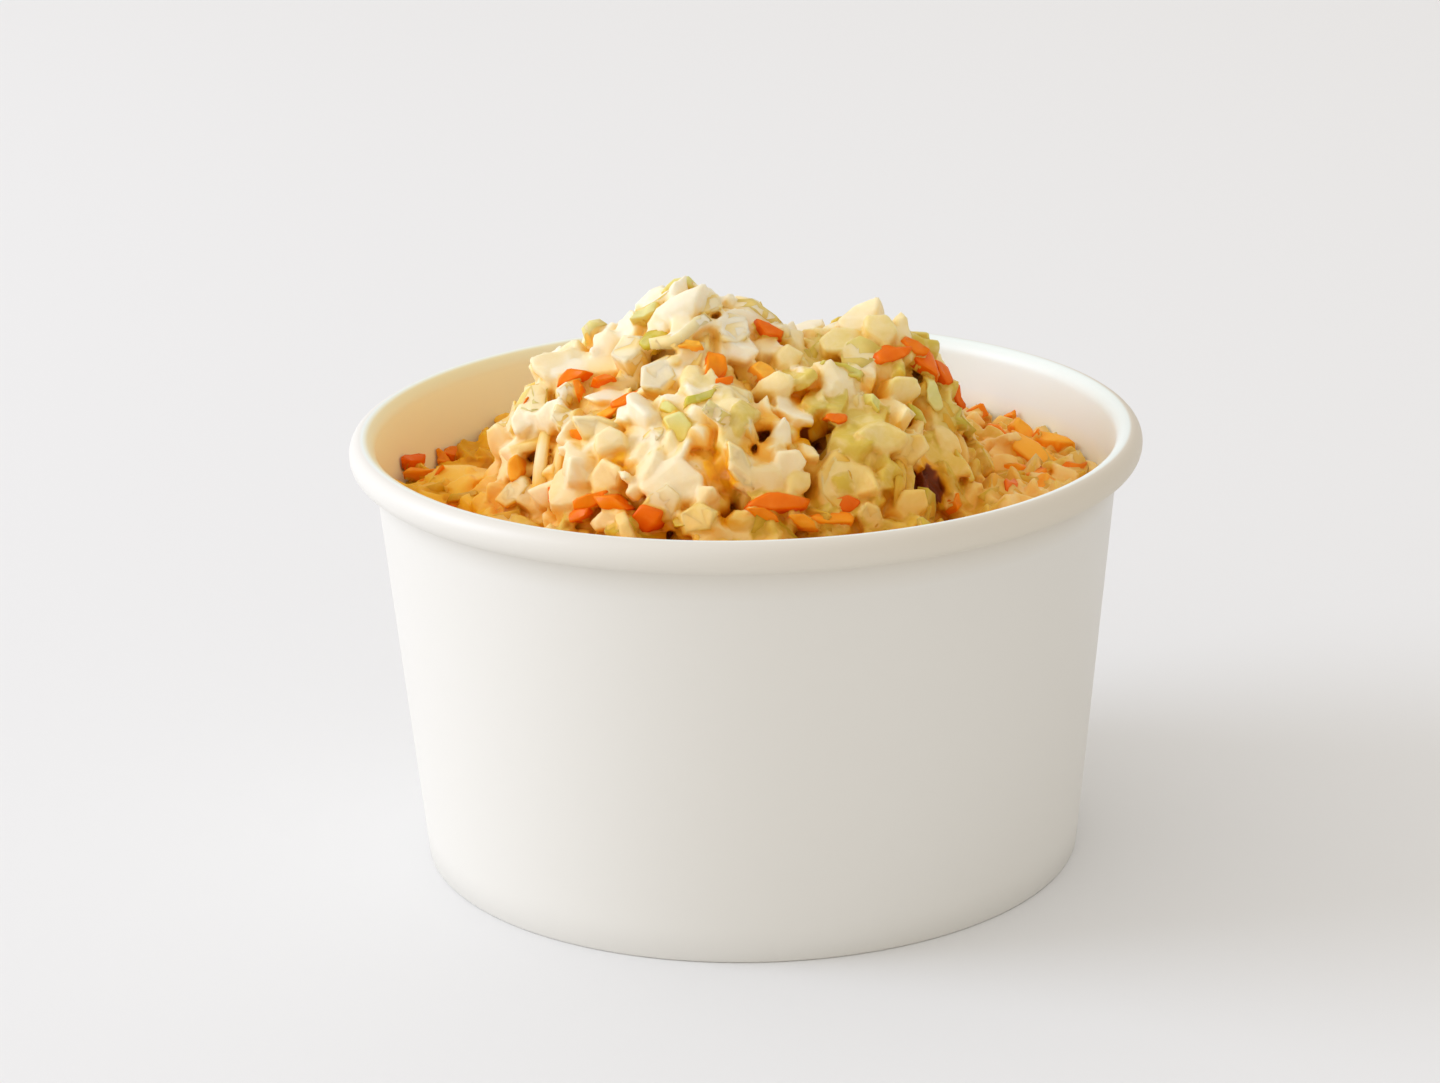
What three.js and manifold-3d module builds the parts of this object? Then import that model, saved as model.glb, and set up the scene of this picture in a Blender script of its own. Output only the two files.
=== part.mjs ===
// A tub of coleslaw: a white paper cup with a rolled rim, filled and heaped with
// chopped cabbage and carrot in a creamy dressing.
//
// Millimetres, +Z up. The origin is the centre of the ring that the cup stands on.
// The group holds two meshes: the cup, and the slaw as one lumpy heap.

import * as THREE from "three";
import { mergeVertices } from "three/addons/utils/BufferGeometryUtils.js";
import Module from "manifold-3d";

const wasm = await Module();
wasm.setup();

// ---------- Driving dimensions of the cup ----------
const RIM_RADIUS = 49; // outermost point of the rolled rim
const CUP_HEIGHT = 54.5;
const ROLL_WIDTH = 3.3; // the rolled rim is a little taller than it is wide
const ROLL_HEIGHT = 3.9;
const FOOT_RADIUS = 41.25;
const BOARD = 0.5; // thickness of the coated paperboard
const HEM = 1.4; // the wall is folded round the base's flange: three boards
const BASE_RISE = 6; // underside of the recessed base over the table
const ROLL_TUCK = Math.PI / 5; // the roll curls this far in past its lowest point
const ROLL_LIP = 0.2; // height of the gap between the roll's edge and the wall
const CUP_SIDES = 64;
const ROLL_STEPS = 12;

// ---------- Driving dimensions of the slaw ----------
const CLEARANCE = 0.3; // between the slaw and the cup
const SKIRT_LEVEL = 45.6; // the slaw's surface next to the wall
const MOUND_X = -1;
const MOUND_Y = 2.2;
const MOUND_RADIUS = 30.2;
const MOUND_HEIGHT = 17.4; // over the skirt, before its lobes
const MOUND_ROUNDNESS = 3.1; // a higher power gives a flatter top
const MOUND_SHOULDER = 0.8; // a lower power gives a steeper side
const LUMP = 0.8; // height of the slow lumps in the surface
// Lobes and hollows on the mound: place in plan, height and reach.
const LOBES = [
  { x: -7.6, y: 0, height: 8, reach: 8 },
  { x: 17.6, y: 1, height: 7.4, reach: 8 },
  { x: -24, y: 0, height: 5.4, reach: 6 },
  { x: 3.4, y: 0, height: 3, reach: 5.6 },
  { x: -4, y: -20, height: 2.6, reach: 6.5 },
  { x: 9.5, y: -17, height: -2.6, reach: 5 },
  { x: 19, y: -16, height: 2, reach: 6 },
  { x: 5, y: 17, height: -1.5, reach: 7 },
];

const CORE_SIDES = 36;
const CORE_RINGS = 9;
const CORE_SINK = 0.4; // the bare core lies this far below the heap's surface
const SLOPE_STEP = 0.8; // the surface's slope is taken over twice this distance

// Pieces of cabbage and carrot: middle sizes, each varied by SIZE_SPREAD.
const PIECES = 214;
const SIZE_SPREAD = 0.28;
const KINDS = [
  { share: 0.5, length: 5.6, width: 4.4, thickness: 2.1, steps: 1, bend: 0 },
  { share: 0.2, length: 6.2, width: 4.8, thickness: 1.5, steps: 2, bend: 0.9 },
  { share: 0.14, length: 9.5, width: 2.1, thickness: 1.6, steps: 3, bend: 1.5 },
  { share: 0.16, length: 7, width: 2, thickness: 1.7, steps: 2, bend: 0.8 },
];
const CORNER_SHIFT = 0.16; // corners are off by this share of the piece's size
const TILT = 0.75; // largest lean of a piece about its length, in radians
const PITCH = 0.5; // largest lean of a piece about its width
const PLACE_SHIFT = 0.6; // pieces are off their even places by up to this
const WALL_MARGIN = 1.5; // piece middles stay this far from the wall
const RING_STEP = 0.25; // the heap's area is summed in rings of this width
const SEED = 4;

// ---------- Small helpers ----------

// A repeatable random number from 0 to 1 at each call.
function randomSource(seed) {
  let state = seed >>> 0;
  return () => {
    state = (state + 0x6d2b79f5) >>> 0;
    let t = state;
    t = Math.imul(t ^ (t >>> 15), t | 1);
    t ^= t + Math.imul(t ^ (t >>> 7), t | 61);
    return ((t ^ (t >>> 14)) >>> 0) / 4294967296;
  };
}

const random = randomSource(SEED);
const spread = (size) => size * (random() * 2 - 1);

// A closed geometry with its shared corners merged.
function welded(geometry) {
  geometry.deleteAttribute("normal");
  geometry.deleteAttribute("uv");
  return mergeVertices(geometry, 1e-4);
}

function solidOf(geometry) {
  return new wasm.Manifold(
    new wasm.Mesh({
      numProp: 3,
      vertProperties: new Float32Array(geometry.attributes.position.array),
      triVerts: new Uint32Array(geometry.index.array),
    }),
  );
}

function geometryOf(solid) {
  const made = solid.getMesh();
  const geometry = new THREE.BufferGeometry();
  geometry.setAttribute("position", new THREE.BufferAttribute(made.vertProperties, 3));
  geometry.setIndex(new THREE.BufferAttribute(made.triVerts, 1));
  return geometry;
}

// Turns a profile of (radius, height) points about the Z axis.
function turned(profile, sides) {
  const geometry = new THREE.LatheGeometry(profile, sides);
  geometry.rotateX(Math.PI / 2);
  return welded(geometry);
}

// ---------- The cup ----------

const rollCentreRadius = RIM_RADIUS - ROLL_WIDTH / 2;
const rollCentreHeight = CUP_HEIGHT - ROLL_HEIGHT / 2;
const innerTopRadius = RIM_RADIUS - ROLL_WIDTH;
const floorHeight = BASE_RISE + BOARD;

// The wall's outer radius at a height, on the cone from the foot to the roll.
function outerRadius(height) {
  const top = innerTopRadius + BOARD;
  return FOOT_RADIUS + ((top - FOOT_RADIUS) * height) / rollCentreHeight;
}

const innerRadius = (height) => outerRadius(height) - BOARD;

// The rolled rim from where its underside meets the wall, round the outside and
// over the top to the inner wall.
function rollArc() {
  const start = -Math.PI / 2 - ROLL_TUCK;
  const arc = [];
  for (let i = 0; i <= ROLL_STEPS; i++) {
    const angle = start + ((Math.PI - start) * i) / ROLL_STEPS;
    arc.push(
      new THREE.Vector2(
        rollCentreRadius + (ROLL_WIDTH / 2) * Math.cos(angle),
        rollCentreHeight + (ROLL_HEIGHT / 2) * Math.sin(angle),
      ),
    );
  }
  return arc;
}

function cupGeometry() {
  const rim = rollArc();
  const underRoll = rim[0].y - ROLL_LIP;
  const profile = [
    new THREE.Vector2(0, BASE_RISE),
    new THREE.Vector2(outerRadius(BASE_RISE) - HEM, BASE_RISE),
    new THREE.Vector2(FOOT_RADIUS - HEM, 0),
    new THREE.Vector2(FOOT_RADIUS, 0),
    new THREE.Vector2(outerRadius(underRoll), underRoll),
    ...rim,
    new THREE.Vector2(innerRadius(floorHeight), floorHeight),
    new THREE.Vector2(0, floorHeight),
  ];
  return turned(profile, CUP_SIDES);
}

// ---------- The heap's form ----------

const lumps = (x, y) =>
  Math.sin(x / 3.1 + 0.8) * Math.cos(y / 3.7 - 0.5) +
  0.7 * Math.sin((x + y) / 4.6 + 2.1);

// The radius of the mound's foot towards a plan direction.
const footRadius = (angle) =>
  MOUND_RADIUS * (1 + 0.03 * Math.cos(2 * angle + 0.5) + 0.02 * Math.sin(3 * angle));

// Height of the heap's surface at a place in plan.
function heapHeight(x, y) {
  const dx = x - MOUND_X;
  const dy = y - MOUND_Y;
  const share = Math.min(1, Math.hypot(dx, dy) / footRadius(Math.atan2(dy, dx)));
  const dome = (1 - share ** MOUND_ROUNDNESS) ** MOUND_SHOULDER;
  let height = SKIRT_LEVEL + MOUND_HEIGHT * dome + LUMP * lumps(x, y);
  for (const lobe of LOBES) {
    const away = Math.hypot(x - lobe.x, y - lobe.y) / lobe.reach;
    height += lobe.height * Math.exp(-away * away) * Math.min(1, 3 * dome);
  }
  return height;
}

// The direction straight out of the heap's surface.
function heapNormal(x, y) {
  const rise = (dx, dy) =>
    (heapHeight(x + dx, y + dy) - heapHeight(x - dx, y - dy)) / (2 * SLOPE_STEP);
  return new THREE.Vector3(-rise(SLOPE_STEP, 0), -rise(0, SLOPE_STEP), 1).normalize();
}

// The slaw's widest radius at a height, clear of the wall.
const slawRadius = (height) => innerRadius(height) - CLEARANCE;

// The bare core: turned to the cup's inside, its top rings then lifted to the heap.
function coreGeometry() {
  const bottom = floorHeight + CLEARANCE;
  const lowestSkirt = SKIRT_LEVEL - 2 * LUMP;
  const edge = slawRadius(lowestSkirt);
  const profile = [new THREE.Vector2(0, bottom), new THREE.Vector2(slawRadius(bottom), bottom)];
  for (let i = CORE_RINGS; i >= 0; i--) {
    profile.push(new THREE.Vector2((edge * i) / CORE_RINGS, SKIRT_LEVEL));
  }
  const geometry = turned(profile, CORE_SIDES);
  const place = geometry.attributes.position;
  for (let i = 0; i < place.count; i++) {
    if (place.getZ(i) > lowestSkirt) {
      place.setZ(i, heapHeight(place.getX(i), place.getY(i)) - CORE_SINK);
    }
  }
  return geometry;
}

// ---------- The pieces ----------

// One piece lying flat about its middle: a bar of a few steps with shifted
// corners, bowed along its length.
function pieceGeometry(kind) {
  const length = kind.length * (1 + spread(SIZE_SPREAD));
  const width = kind.width * (1 + spread(SIZE_SPREAD));
  const thickness = kind.thickness * (1 + spread(SIZE_SPREAD / 2));
  const geometry = welded(new THREE.BoxGeometry(length, width, thickness, kind.steps, 1, 1));
  const place = geometry.attributes.position;
  const bend = kind.bend * (random() + 0.4);
  for (let i = 0; i < place.count; i++) {
    const along = (2 * place.getX(i)) / length;
    place.setXYZ(
      i,
      place.getX(i) + spread((CORNER_SHIFT * length) / kind.steps),
      place.getY(i) + spread(CORNER_SHIFT * width),
      place.getZ(i) + spread(CORNER_SHIFT * thickness) - bend * along * along,
    );
  }
  return geometry;
}

function pickKind() {
  let draw = random();
  return KINDS.find((kind) => (draw -= kind.share) < 0) ?? KINDS[0];
}

// The heap's height round a radius from the mound's axis, as the mean of two sides.
const ringHeight = (radius) =>
  (heapHeight(MOUND_X + radius, MOUND_Y) + heapHeight(MOUND_X - radius, MOUND_Y)) / 2;

// Radii that share the heap's surface into rings of equal area, steep sides and all.
function equalAreaRadii(count, widest) {
  const areas = [0];
  for (let radius = RING_STEP; radius <= widest; radius += RING_STEP) {
    const fall = ringHeight(radius) - ringHeight(radius - RING_STEP);
    areas.push(areas[areas.length - 1] + radius * Math.hypot(RING_STEP, fall));
  }
  const total = areas[areas.length - 1];
  return Array.from({ length: count }, (_, i) => {
    const wanted = (total * (i + 0.5)) / count;
    return RING_STEP * areas.findIndex((area) => area >= wanted);
  });
}

// Moves a piece inwards until all of it is clear of the wall.
function clearOfWall(geometry) {
  const place = geometry.attributes.position;
  let over = 0;
  for (let i = 0; i < place.count; i++) {
    const allowed = slawRadius(Math.min(place.getZ(i), rollCentreHeight));
    over = Math.max(over, Math.hypot(place.getX(i), place.getY(i)) - allowed);
  }
  if (over > 0) {
    geometry.computeBoundingSphere();
    const { x, y } = geometry.boundingSphere.center;
    const out = Math.hypot(x, y);
    geometry.translate((-x * over) / out, (-y * over) / out, 0);
  }
  return geometry;
}

// Turns a piece to lie on the surface at a place in plan, leaning a little.
function pieceTurn(x, y) {
  const lean = new THREE.Euler(spread(TILT), spread(PITCH), random() * 2 * Math.PI, "ZXY");
  const up = new THREE.Vector3(0, 0, 1);
  const turn = new THREE.Quaternion().setFromUnitVectors(up, heapNormal(x, y));
  return turn.multiply(new THREE.Quaternion().setFromEuler(lean));
}

// The pieces, spread over the heap on a golden-angle spiral, each half sunk in it.
function pieceGeometries() {
  const goldenAngle = Math.PI * (3 - Math.sqrt(5));
  const widest = slawRadius(SKIRT_LEVEL) - WALL_MARGIN;
  return equalAreaRadii(PIECES, widest).map((radius, i) => {
    const angle = i * goldenAngle;
    const inwards = 1 - radius / widest;
    const x = MOUND_X * inwards + radius * Math.cos(angle) + spread(PLACE_SHIFT);
    const y = MOUND_Y * inwards + radius * Math.sin(angle) + spread(PLACE_SHIFT);
    const geometry = pieceGeometry(pickKind());
    geometry.applyQuaternion(pieceTurn(x, y));
    geometry.translate(x, y, heapHeight(x, y) - CORE_SINK);
    return clearOfWall(geometry);
  });
}

// The core and its pieces fused. Of the shells this leaves, the outermost is the
// heap: the others are loose scraps and hollows sealed between pieces.
function slawGeometry() {
  const solids = [coreGeometry(), ...pieceGeometries()].map(solidOf);
  const shells = wasm.Manifold.union(solids).decompose();
  shells.sort((a, b) => b.volume() - a.volume());
  return geometryOf(shells[0]);
}

// ---------- The finished part ----------

const paperboard = new THREE.MeshStandardMaterial({ color: 0xf4f2ec, roughness: 0.55, metalness: 0 });
const dressedCabbage = new THREE.MeshStandardMaterial({
  color: 0xeeddaa,
  roughness: 0.35,
  metalness: 0,
  flatShading: true,
});

const cup = new THREE.Mesh(cupGeometry(), paperboard);
cup.name = "cup";

const coleslaw = new THREE.Mesh(slawGeometry(), dressedCabbage);
coleslaw.name = "coleslaw";

const tub = new THREE.Group();
tub.add(cup, coleslaw);

export default tub;
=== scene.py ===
"""A white paper tub heaped with creamy chopped coleslaw.

The tub is turned paperboard with a rolled rim. The slaw is a bed of dressing and
cabbage steeped in it, with chopped cabbage, carrot and shreds scattered over it.
Shapes are worked out in millimetres and turned to metres when a mesh is finished.
"""

import math

import bmesh
import bpy
import numpy as np
from mathutils import Matrix, Vector, noise
from mathutils.bvhtree import BVHTree


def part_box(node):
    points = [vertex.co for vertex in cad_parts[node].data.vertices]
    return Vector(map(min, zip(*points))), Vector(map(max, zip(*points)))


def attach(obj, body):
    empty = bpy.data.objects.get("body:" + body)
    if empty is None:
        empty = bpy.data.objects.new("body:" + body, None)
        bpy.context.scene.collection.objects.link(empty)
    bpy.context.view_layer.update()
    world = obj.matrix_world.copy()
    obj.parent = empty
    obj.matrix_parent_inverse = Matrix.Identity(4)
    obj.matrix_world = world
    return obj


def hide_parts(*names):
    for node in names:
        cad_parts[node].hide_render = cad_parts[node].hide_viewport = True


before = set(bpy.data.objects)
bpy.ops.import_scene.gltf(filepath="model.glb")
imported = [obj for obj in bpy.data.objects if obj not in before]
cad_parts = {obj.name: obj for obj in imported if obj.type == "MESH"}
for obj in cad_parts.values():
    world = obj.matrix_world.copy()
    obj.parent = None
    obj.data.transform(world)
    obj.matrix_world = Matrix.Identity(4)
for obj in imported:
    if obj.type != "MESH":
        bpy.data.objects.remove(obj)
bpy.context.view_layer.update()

MM = 0.001
GOLDEN_ANGLE = math.pi * (3 - math.sqrt(5))
UP = np.array([0.0, 0.0, 1.0])

# ---------- Driving dimensions of the tub, in millimetres ----------
RIM_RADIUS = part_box("cup")[1].x / MM
TUB_HEIGHT = 54.5
ROLL_WIDTH = 3.3
ROLL_HEIGHT = 3.9
FOOT_RADIUS = 41.25
BOARD = 0.5
HEM = 1.4
BASE_RISE = 6
EDGE = 0.25
ROLL_TUCK = math.pi / 5
ROLL_GAP = 0.15
SEAM_WIDTH = 7
SEAM_STEP = 0.3
SEAM_REACH = 0.2
SEAM_LEAST_AREA = 1
SPIN_STEPS = 180
ROLL_STEPS = 24
WALL_STEPS = 12
# Painted warm glow inside the board, for light through it from the left and bounced from the slaw: the side
# where it is strongest, and its height where the slaw touches.
PAINTED_GLOW_TURN = math.radians(162)
PAINTED_GLOW_SPREAD = math.radians(100)
PAINTED_GLOW_FADE = 0.75
PAINTED_GLOW_EDGE = 0.12
PAINTED_GLOW_TOUCH = 0.6
PAINTED_GLOW_TOP = 48.5
PAINTED_GLOW_RISE = 2
# Painted warm shade and painted reflection of the slaw on the rolled rim: how much, and how much more
# towards its right side, away from the lamp.
RIM_PAINTED_SHADE = 0.35
RIM_PAINTED_SHADE_LEAN = 0.35

# ---------- Driving dimensions of the slaw's heap ----------
CLEARANCE = 0.3
SKIRT_LEVEL = 45.6
MOUND_X = -1
MOUND_Y = 2.2
MOUND_RADIUS = 30.2
MOUND_HEIGHT = 17.4
MOUND_ROUNDNESS = 3.1
MOUND_SHOULDER = 0.8
OVAL = 0.03
THREE_CORNERED = 0.02
LUMP = 0.8
WAVE_X = 3.1
WAVE_Y = 3.7
LONG_WAVE = 4.6
LONG_WAVE_SHARE = 0.7
SKIRT_DIP = 3.5
DIP_X = -28
DIP_Y = 20
DIP_REACH = 14
LOBES = [  # place in plan, height, reach
    (-7.6, 0, 8, 7.6),
    (17.2, 1, 6.4, 6.8),
    (-24, 0, 4.4, 6),
    (3.4, 0, 2.2, 5.6),
    (-4, -20, 2.6, 6.5),
    (9.5, -17, -2.6, 5),
    (19, -16, 2, 6),
    (5, 17, -1.5, 7),
]

# ---------- The view ----------
IMAGE_WIDTH = 1440
IMAGE_HEIGHT = 1083
FOCAL_PIXELS = 3919.3
SENSOR_WIDTH = 36
CAMERA_PLACE = np.array([0, -466, 191.1])
CAMERA_PITCH = math.radians(18.07)
CAMERA_YAW = math.radians(-0.42)
CAMERA_ROLL = math.radians(-1.21)
NEAREST_SEEN = 380
FARTHEST_SEEN = 560
SEEN_STEP = 0.2


def camera_axes():
    """The camera's right, up and forward directions."""
    forward = np.array([
        math.sin(CAMERA_YAW) * math.cos(CAMERA_PITCH),
        math.cos(CAMERA_YAW) * math.cos(CAMERA_PITCH),
        -math.sin(CAMERA_PITCH),
    ])
    level_right = np.cross(forward, UP)
    level_right /= np.linalg.norm(level_right)
    level_up = np.cross(level_right, forward)
    right = level_right * math.cos(CAMERA_ROLL) + level_up * math.sin(CAMERA_ROLL)
    up = level_up * math.cos(CAMERA_ROLL) - level_right * math.sin(CAMERA_ROLL)
    return right, up, forward


CAMERA_RIGHT, CAMERA_UP, CAMERA_FORWARD = camera_axes()


def make_camera():
    data = bpy.data.cameras.new("camera")
    data.sensor_width = SENSOR_WIDTH
    data.lens = SENSOR_WIDTH * FOCAL_PIXELS / IMAGE_WIDTH
    data.clip_end = 20
    camera = add_object("camera", data)
    turn = Matrix((CAMERA_RIGHT, CAMERA_UP, -CAMERA_FORWARD)).transposed().to_4x4()
    camera.matrix_world = Matrix.Translation(Vector(CAMERA_PLACE * MM)) @ turn
    bpy.context.scene.camera = camera


# ---------- Helpers for objects and meshes ----------

def add_object(name, data):
    """A new object in the scene."""
    piece = bpy.data.objects.new(name, data)
    bpy.context.scene.collection.objects.link(piece)
    return piece


def object_from_bmesh(name, bm, smooth=True):
    """Turns a finished bmesh in millimetres into an object in metres."""
    mesh = bpy.data.meshes.new(name)
    bm.to_mesh(mesh)
    bm.free()
    mesh.transform(Matrix.Scale(MM, 4))
    for polygon in mesh.polygons:
        polygon.use_smooth = smooth
    return add_object(name, mesh)


def turned(profile, steps):
    """A bmesh turned round the upright axis from radii and heights."""
    bm = bmesh.new()
    verts = [bm.verts.new((radius, 0, height)) for radius, height in profile]
    edges = [bm.edges.new(pair) for pair in zip(verts, verts[1:])]
    bmesh.ops.spin(
        bm, geom=verts + edges, cent=(0, 0, 0), axis=(0, 0, 1),
        angle=2 * math.pi, steps=steps, use_merge=True,
    )
    bmesh.ops.remove_doubles(bm, verts=bm.verts[:], dist=1e-4)
    return bm


def only_verts(parts):
    return [part for part in parts if isinstance(part, bmesh.types.BMVert)]


def corners_and_triangles(bm):
    """A bmesh's corners and triangles as two arrays; the bmesh is used up."""
    bmesh.ops.triangulate(bm, faces=bm.faces[:])
    bmesh.ops.recalc_face_normals(bm, faces=bm.faces[:])
    bm.verts.index_update()
    corners = np.array([vert.co for vert in bm.verts])
    triangles = np.array([[vert.index for vert in face.verts] for face in bm.faces])
    bm.free()
    return corners, triangles


# ---------- Helpers for materials ----------

def linear(hex_colour):
    """An sRGB hex colour as linear red, green, blue and alpha."""
    channels = [int(hex_colour[i:i + 2], 16) / 255 for i in (1, 3, 5)]
    return [c / 12.92 if c <= 0.04045 else ((c + 0.055) / 1.055) ** 2.4 for c in channels] + [1]


def add_node(tree, kind, settings=None, links=None):
    """Adds a node, sets its inputs and properties, and links its inputs."""
    node = tree.nodes.new(kind)
    for name, value in (settings or {}).items():
        if isinstance(name, int) or name in node.inputs:
            node.inputs[name].default_value = value
        else:
            setattr(node, name, value)
    for name, source in (links or {}).items():
        tree.links.new(source, node.inputs[name])
    return node


def new_material(name):
    """An empty material and its node tree."""
    material = bpy.data.materials.new(name)
    material.use_nodes = True
    material.node_tree.nodes.clear()
    return material, material.node_tree


def colour_ramp(tree, source, stops):
    """A ramp over a number, with stops of (position, hex colour)."""
    ramp = add_node(tree, "ShaderNodeValToRGB", links={"Fac": source})
    elements = ramp.color_ramp.elements
    while len(elements) < len(stops):
        elements.new(1)
    for element, (position, colour) in zip(elements, stops):
        element.position = position
        element.color = linear(colour)
    return ramp.outputs["Color"]


def stored(tree, name):
    """A value that the mesh stores on its corners."""
    return add_node(tree, "ShaderNodeAttribute", {"attribute_name": name}).outputs["Fac"]


def mix_colours(tree, share, first, second, blend="MIX"):
    """Mixes two colours, each a hex colour or a link, by a number or a link."""
    settings = {"data_type": "RGBA", "blend_type": blend}
    links = {}
    for name, value in (("Factor", share), (6, first), (7, second)):
        if isinstance(value, bpy.types.NodeSocket):
            links[name] = value
        else:
            settings[name] = linear(value) if isinstance(value, str) else value
    return add_node(tree, "ShaderNodeMix", settings, links).outputs[2]


def finish_material(tree, settings, links=None):
    """Gives a material its surface."""
    shader = add_node(tree, "ShaderNodeBsdfPrincipled", settings, links)
    add_node(tree, "ShaderNodeOutputMaterial", links={"Surface": shader.outputs["BSDF"]})


# ---------- Materials ----------

GRAIN_SIZE = 1.5  # coarser than a leaf's cells, so that it shows
GRAIN_DEPTH = 0.2
SMEAR_SIZE = 1.6
MOTTLING = 0.35
FIBRE_SIZE = 0.9  # coarser than paper's fibres, so that it shows
# Painted shade that tints a piece's own colour: darker and more golden the less open it lies among its
# neighbours, and in the gaps and the trough.
PAINTED_SHADE_COLOURS = [
    (0, "#CC8416"), (0.12, "#EBB030"), (0.26, "#F8C852"), (0.4, "#FCD674"),
    (0.55, "#FCE096"), (0.7, "#FFEEC2"), (0.9, "#FFFCF4"),
]
PAINTED_GAP_AND_TROUGH_SHADE_COLOURS = [
    (0, "#400800"), (0.12, "#A05410"), (0.25, "#F4B828"), (0.4, "#FFCE38"),
    (0.6, "#FFDA90"), (0.8, "#FFECC4"), (1, "#FFFFFF"),
]
# Painted shade on carrot: over openness, and over the light that the gaps and trough leave.
ROOT_PAINTED_SHADE_COLOURS = [(0, "#B86818"), (0.25, "#EEB868"), (0.5, "#FFE6BC"), (0.75, "#FFFFFF")]
ROOT_PAINTED_GAP_AND_TROUGH_SHADE_COLOURS = [(0, "#400800"), (0.15, "#C07820"), (0.3, "#F4D070"), (0.6, "#FFECB8"), (1, "#FFFFFF")]
# Cabbage in dressing: a soft sheen, and light that goes a little way in.
DRESSED = dict(
    roughness=0.38, scatter=0.5, scatter_radius=(1.0, 0.9, 0.7), film=0.35, film_colour="#F4E6C6",
)


def coated_paperboard():
    """White paperboard: satin outside; inside painted lighter and bluer; painted warm glow inside on the
    left and where the slaw touches; painted warm shade on the rim.
    """
    material, tree = new_material("coated_paperboard")
    place = add_node(tree, "ShaderNodeTexCoord")
    # Painted light: the inside is lighter and bluer than the outside, against the heap's shade and the
    # slaw's warm bounce on it.
    clean = mix_colours(tree, stored(tree, "lined"), "#E5E2DA", "#F1FCFD")
    # Painted warm glow: light through the board from the lamp on the left, and bounced from the slaw where
    # it touches.
    wall = mix_colours(tree, stored(tree, "painted_glow"), clean, "#FFF8CC")
    # Painted warm shade and painted reflection of the slaw on the rim, most on its right side.
    board = mix_colours(tree, stored(tree, "rolled"), wall, "#EFE3CE", "MULTIPLY")
    fibres = add_node(
        tree, "ShaderNodeTexNoise",
        {"Scale": 1 / (FIBRE_SIZE * MM), "Detail": 3},
        {"Vector": place.outputs["Object"]},
    )
    bump = add_node(
        tree, "ShaderNodeBump",
        {"Strength": 0.12, "Distance": 0.05 * MM},
        {"Height": fibres.outputs["Fac"]},
    )
    finish_material(
        tree,
        {"Roughness": 0.42, "IOR": 1.5},
        {"Base Color": board, "Normal": bump.outputs["Normal"]},
    )
    return material


def wet_food(
    name, tone_stops, roughness, scatter, scatter_radius, film, film_colour,
    shade_colours=PAINTED_SHADE_COLOURS, painted_gap_and_trough_shade_colours=PAINTED_GAP_AND_TROUGH_SHADE_COLOURS,
):
    """Moist food: a colour for each piece, with cream dressing on it, and painted shade, darker and more
    golden, in crevices, gaps and the trough.
    """
    material, tree = new_material(name)
    place = add_node(tree, "ShaderNodeTexCoord")
    grain = add_node(
        tree, "ShaderNodeTexNoise",
        {"Scale": 1 / (GRAIN_SIZE * MM), "Detail": 4},
        {"Vector": place.outputs["Object"]},
    )
    mottled = add_node(
        tree, "ShaderNodeMath",
        {"operation": "MULTIPLY_ADD", 1: MOTTLING},
        {0: grain.outputs["Fac"], 2: stored(tree, "tone")},
    )
    centred = add_node(
        tree, "ShaderNodeMath",
        {"operation": "SUBTRACT", 1: MOTTLING / 2},
        {0: mottled.outputs[0]},
    )
    own_colour = colour_ramp(tree, centred.outputs[0], tone_stops)
    smears = add_node(
        tree, "ShaderNodeTexNoise",
        {"Scale": 1 / (SMEAR_SIZE * MM), "Detail": 2, "Distortion": 0.6},
        {"Vector": place.outputs["Object"]},
    )
    smeared = add_node(
        tree, "ShaderNodeMapRange",
        {"From Min": 0.45, "From Max": 0.75, "To Max": film},
        {"Value": smears.outputs["Fac"]},
    )
    colour = mix_colours(tree, smeared.outputs["Result"], own_colour, film_colour)
    # Painted shade: the colour is multiplied by ramps over openness and over the light left by gaps and
    # trough.
    for name, stops in (("openness", shade_colours), ("painted_gap_and_trough_light", painted_gap_and_trough_shade_colours)):
        colour = mix_colours(tree, 1, colour, colour_ramp(tree, stored(tree, name), stops), "MULTIPLY")
    bump = add_node(
        tree, "ShaderNodeBump",
        {"Strength": 0.5, "Distance": GRAIN_DEPTH * MM},
        {"Height": grain.outputs["Fac"]},
    )
    finish_material(
        tree,
        {
            "Roughness": roughness,
            "IOR": 1.38,
            "Specular IOR Level": 0.25,
            "Subsurface Weight": scatter,
            "Subsurface Radius": scatter_radius,
            "Subsurface Scale": 1 * MM,
        },
        {"Base Color": colour, "Normal": bump.outputs["Normal"]},
    )
    return material


def studio_floor():
    """A matt white paper floor."""
    material, tree = new_material("studio_floor")
    finish_material(tree, {"Base Color": linear("#E9E9E8"), "Roughness": 0.9, "Specular IOR Level": 0.1})
    return material


# ---------- The tub ----------

ROLL_CENTRE_RADIUS = RIM_RADIUS - ROLL_WIDTH / 2
ROLL_CENTRE_HEIGHT = TUB_HEIGHT - ROLL_HEIGHT / 2
FLOOR_HEIGHT = BASE_RISE + BOARD


def outer_radius(height):
    """The wall's outer radius at a height."""
    top = RIM_RADIUS - ROLL_WIDTH + BOARD
    return FOOT_RADIUS + (top - FOOT_RADIUS) * height / ROLL_CENTRE_HEIGHT


def inner_radius(height):
    return outer_radius(height) - BOARD


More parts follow.
